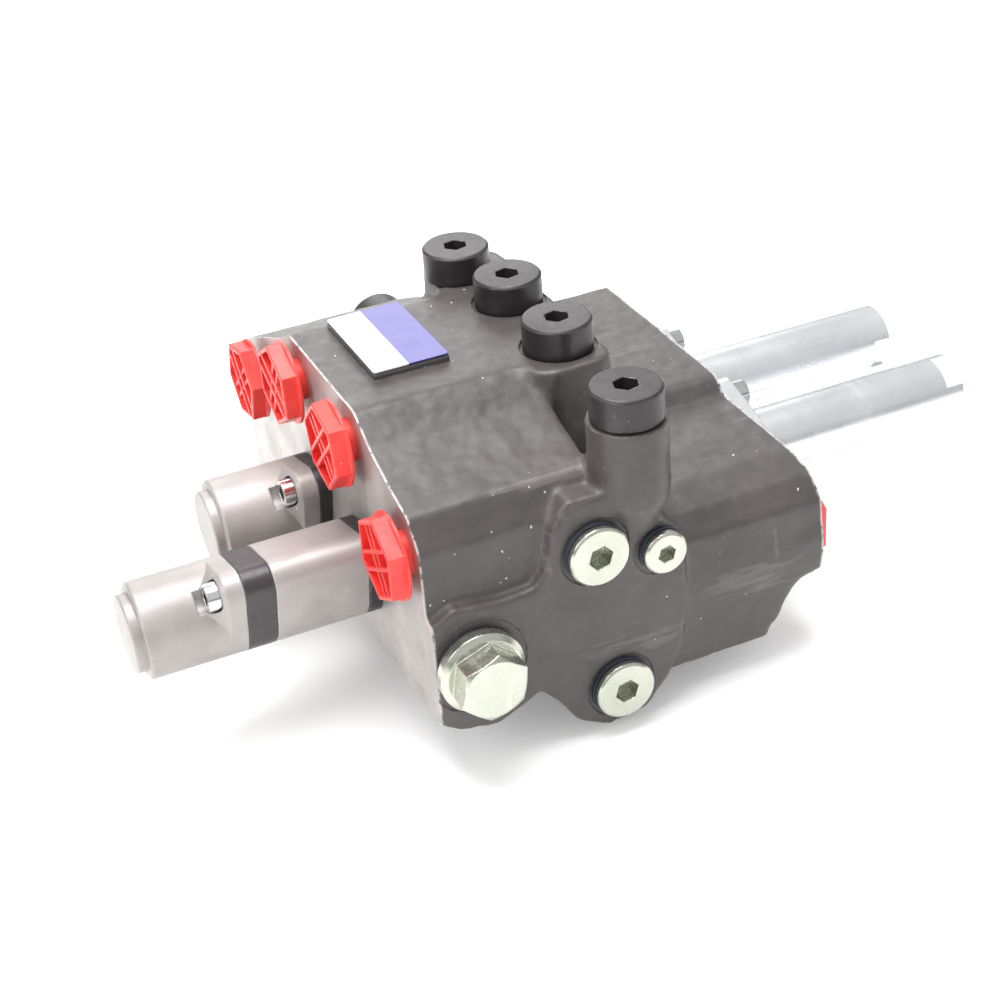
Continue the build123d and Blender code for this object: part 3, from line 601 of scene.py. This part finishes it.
# what is bored, threaded or spot-faced, as one solid
def passages(look):
    seat, half = look["deck"] - look["seatDepth"], look["faceHalf"]
    padFace, backFace = look["padFace"], look["backFace"]
    tools = []

    def bore(along, start, end, centre, radius, steps=64):
        tools.append(prism("tool", along, start, end, circle(centre, radius, steps)))

    for place in look["topPlugs"]:
        bore("z", seat, look["deck"] + 9, place, look["topSeat"])
        bore("z", 102, seat + 1, place, look["topThread"])
    for place in look["topPlugs"][1:3]:
        bore("z", 60, 103, place, look["checkBore"])
    for x, z, radius, bottom in look["zincPlugs"]:
        bore("y", padFace - 6, padFace, (x, z), radius + look["sideSeatRim"])
        bore("y", padFace - 1, bottom, (x, z), radius)
    bore("y", padFace - 6, padFace, look["relief"], look["reliefSeat"])
    bore("y", padFace - 1, -73, look["relief"], look["reliefThread"])
    bore("y", -74, -36, look["relief"], look["reliefBore"])
    bore("y", backFace, backFace + 6, look["backPlug"], look["backSeat"])
    bore("y", 86, backFace + 1, look["backPlug"], look["topThread"])
    for y in look["spools"]:
        axis = (y, look["spoolHeight"])
        bore("x", -half - 1, half + 1, axis, look["spoolBore"])
        for station in look["grooves"]:
            bore("x", station - 4, station + 4, axis, look["groove"])
        for start in (-half - 1, half - 5):
            bore("x", start, start + 6, axis, look["groove"])
        for side, start in ((-1, -half - 1), (1, half - 15)):
            for up in (-1, 1):
                screw = (y + side * up * look["earScrew"], look["spoolHeight"] + up * look["earScrew"])
                bore("x", start, start + 16, screw, look["screwHole"], 32)
    for place in look["leftPorts"]:
        bore("x", -half - 1, -half + look["portDepth"], place, look["port"])
    sideY, sideZ, _ = look["sideBoss"]
    for side in (-1, 1):
        bore("x", half - look["portDepth"], half + 1, (side * sideY, sideZ), look["port"])
    for x in (-look["footPitch"], look["footPitch"]):
        for y in (-look["footPitch"], look["footPitch"]):
            bore("z", -1, 16, (x, y), look["footThread"], 32)
    whole = tools[0]
    for tool in tools[1:]:
        combine(whole, tool, "UNION")
    return whole


def makeCasting(look):
    body = rawCasting(look)
    skin = body.modifiers.new("skin", "REMESH")
    skin.mode = "VOXEL"
    skin.voxel_size = look["voxel"] * mm
    soft = body.modifiers.new("soft", "SMOOTH")
    soft.factor = 0.5
    soft.iterations = look["smoothing"]
    applyAll(body)
    lumpSurface(body, look)
    print("casting skin:", len(body.data.polygons), "faces")
    seat = prism("seat", "z", look["deck"] - 3, look["deck"] + look["labelLift"], look["labelSeat"])
    rounded = seat.modifiers.new("rounded", "BEVEL")
    rounded.width = 1.3 * mm
    rounded.segments = 4
    applyAll(seat)
    combine(body, seat, "UNION")
    half = look["faceHalf"]
    wide = [(-150, -20), (150, -20), (150, 160), (-150, 160)]
    combine(body, prism("end", "x", -half - 30, -half, wide), "DIFFERENCE")
    combine(body, prism("end", "x", half, half + 30, wide), "DIFFERENCE")
    ground = [(-150, -150), (150, -150), (150, 150), (-150, 150)]
    combine(body, prism("base", "z", -20, 0, ground), "DIFFERENCE")
    combine(body, passages(look), "DIFFERENCE")
    mesh = body.data
    mesh.materials.clear()
    mesh.materials.append(finishes["castPaint"])
    mesh.materials.append(finishes["machinedIron"])
    for face in mesh.polygons:
        centre = face.center / mm
        atEnd = abs(centre.x) > half - 0.05 and abs(face.normal.x) > 0.9
        inBore = min(math.hypot(centre.y - y, centre.z - look["spoolHeight"]) for y in look["spools"]) < 12.6
        face.material_index = 1 if atEnd or inBore else 0
        face.use_smooth = True
    mesh.set_sharp_from_angle(angle=math.radians(look["sharpAngle"]))
    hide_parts("valve_body")
    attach(body, "valve_casting")
    print("casting ready:", len(mesh.polygons), "faces")
    return body


makeCasting(castingSet)


partFinish = {
    "labelFoil": ["label_plate"],
    "redPlastic": ["port_plug_a1", "port_plug_a2", "port_plug_b1", "port_plug_b2", "inlet_port_plug",
                   "return_port_plug"],
    "blackOxide": ["check_plug_near", "check_plug_far", "gallery_plug_near", "gallery_plug_far",
                   "back_gallery_plug", "detent_ring", "cover_plate_near", "cover_plate_far"],
    "zincPlate": ["gallery_plug_upper", "gallery_plug_lower", "pilot_plug", "relief_cap"],
    "zincTube": ["cable_sleeve_near", "cable_sleeve_far"],
    "brightScrew": ["cap_screws_near", "cap_screws_far", "sleeve_screws"],
    "castAluminium": ["end_cap_near", "end_cap_far", "centring_housing"],
    "sealRubber": ["plug_seals", "relief_washer", "spool_seals_near", "spool_seals_far"],
    "springSteel": ["relief_spring", "check_spring_near", "check_spring_far", "inner_spring_near",
                    "inner_spring_far", "outer_spring_near", "outer_spring_far", "detent_garter_spring"],
}


def dressParts(choice):
    named = {node: name for name, nodes in choice.items() for node in nodes}
    for node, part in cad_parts.items():
        part.data.materials.clear()
        part.data.materials.append(finishes[named.get(node, "groundSteel")])
    print("parts dressed:", len(named), "named,", len(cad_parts) - len(named), "in ground steel")


dressParts(partFinish)


# springs: joint, axis, the end that stays put, and the stroke in millimetres
springSet = {
    "inner_spring_near": ("near_spool_slide", 0, "high", 7.0),
    "outer_spring_near": ("near_spool_slide", 0, "low", 7.0),
    "inner_spring_far": ("far_spool_slide", 0, "high", 7.0),
    "outer_spring_far": ("far_spool_slide", 0, "low", 7.0),
    "relief_spring": ("relief_poppet_lift", 1, "low", 2.0),
    "check_spring_near": ("check_poppet_near_lift", 2, "high", 4.0),
    "check_spring_far": ("check_poppet_far_lift", 2, "high", 4.0),
}


def makeSprings(look):
    for node, (joint, axis, fixedEnd, stroke) in look.items():
        coil = keepObject(node + "_coil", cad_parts[node].data.copy())
        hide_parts(node)
        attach(coil, "valve_casting")
        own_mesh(coil)
    print("springs ready:", len(look))


makeSprings(springSet)
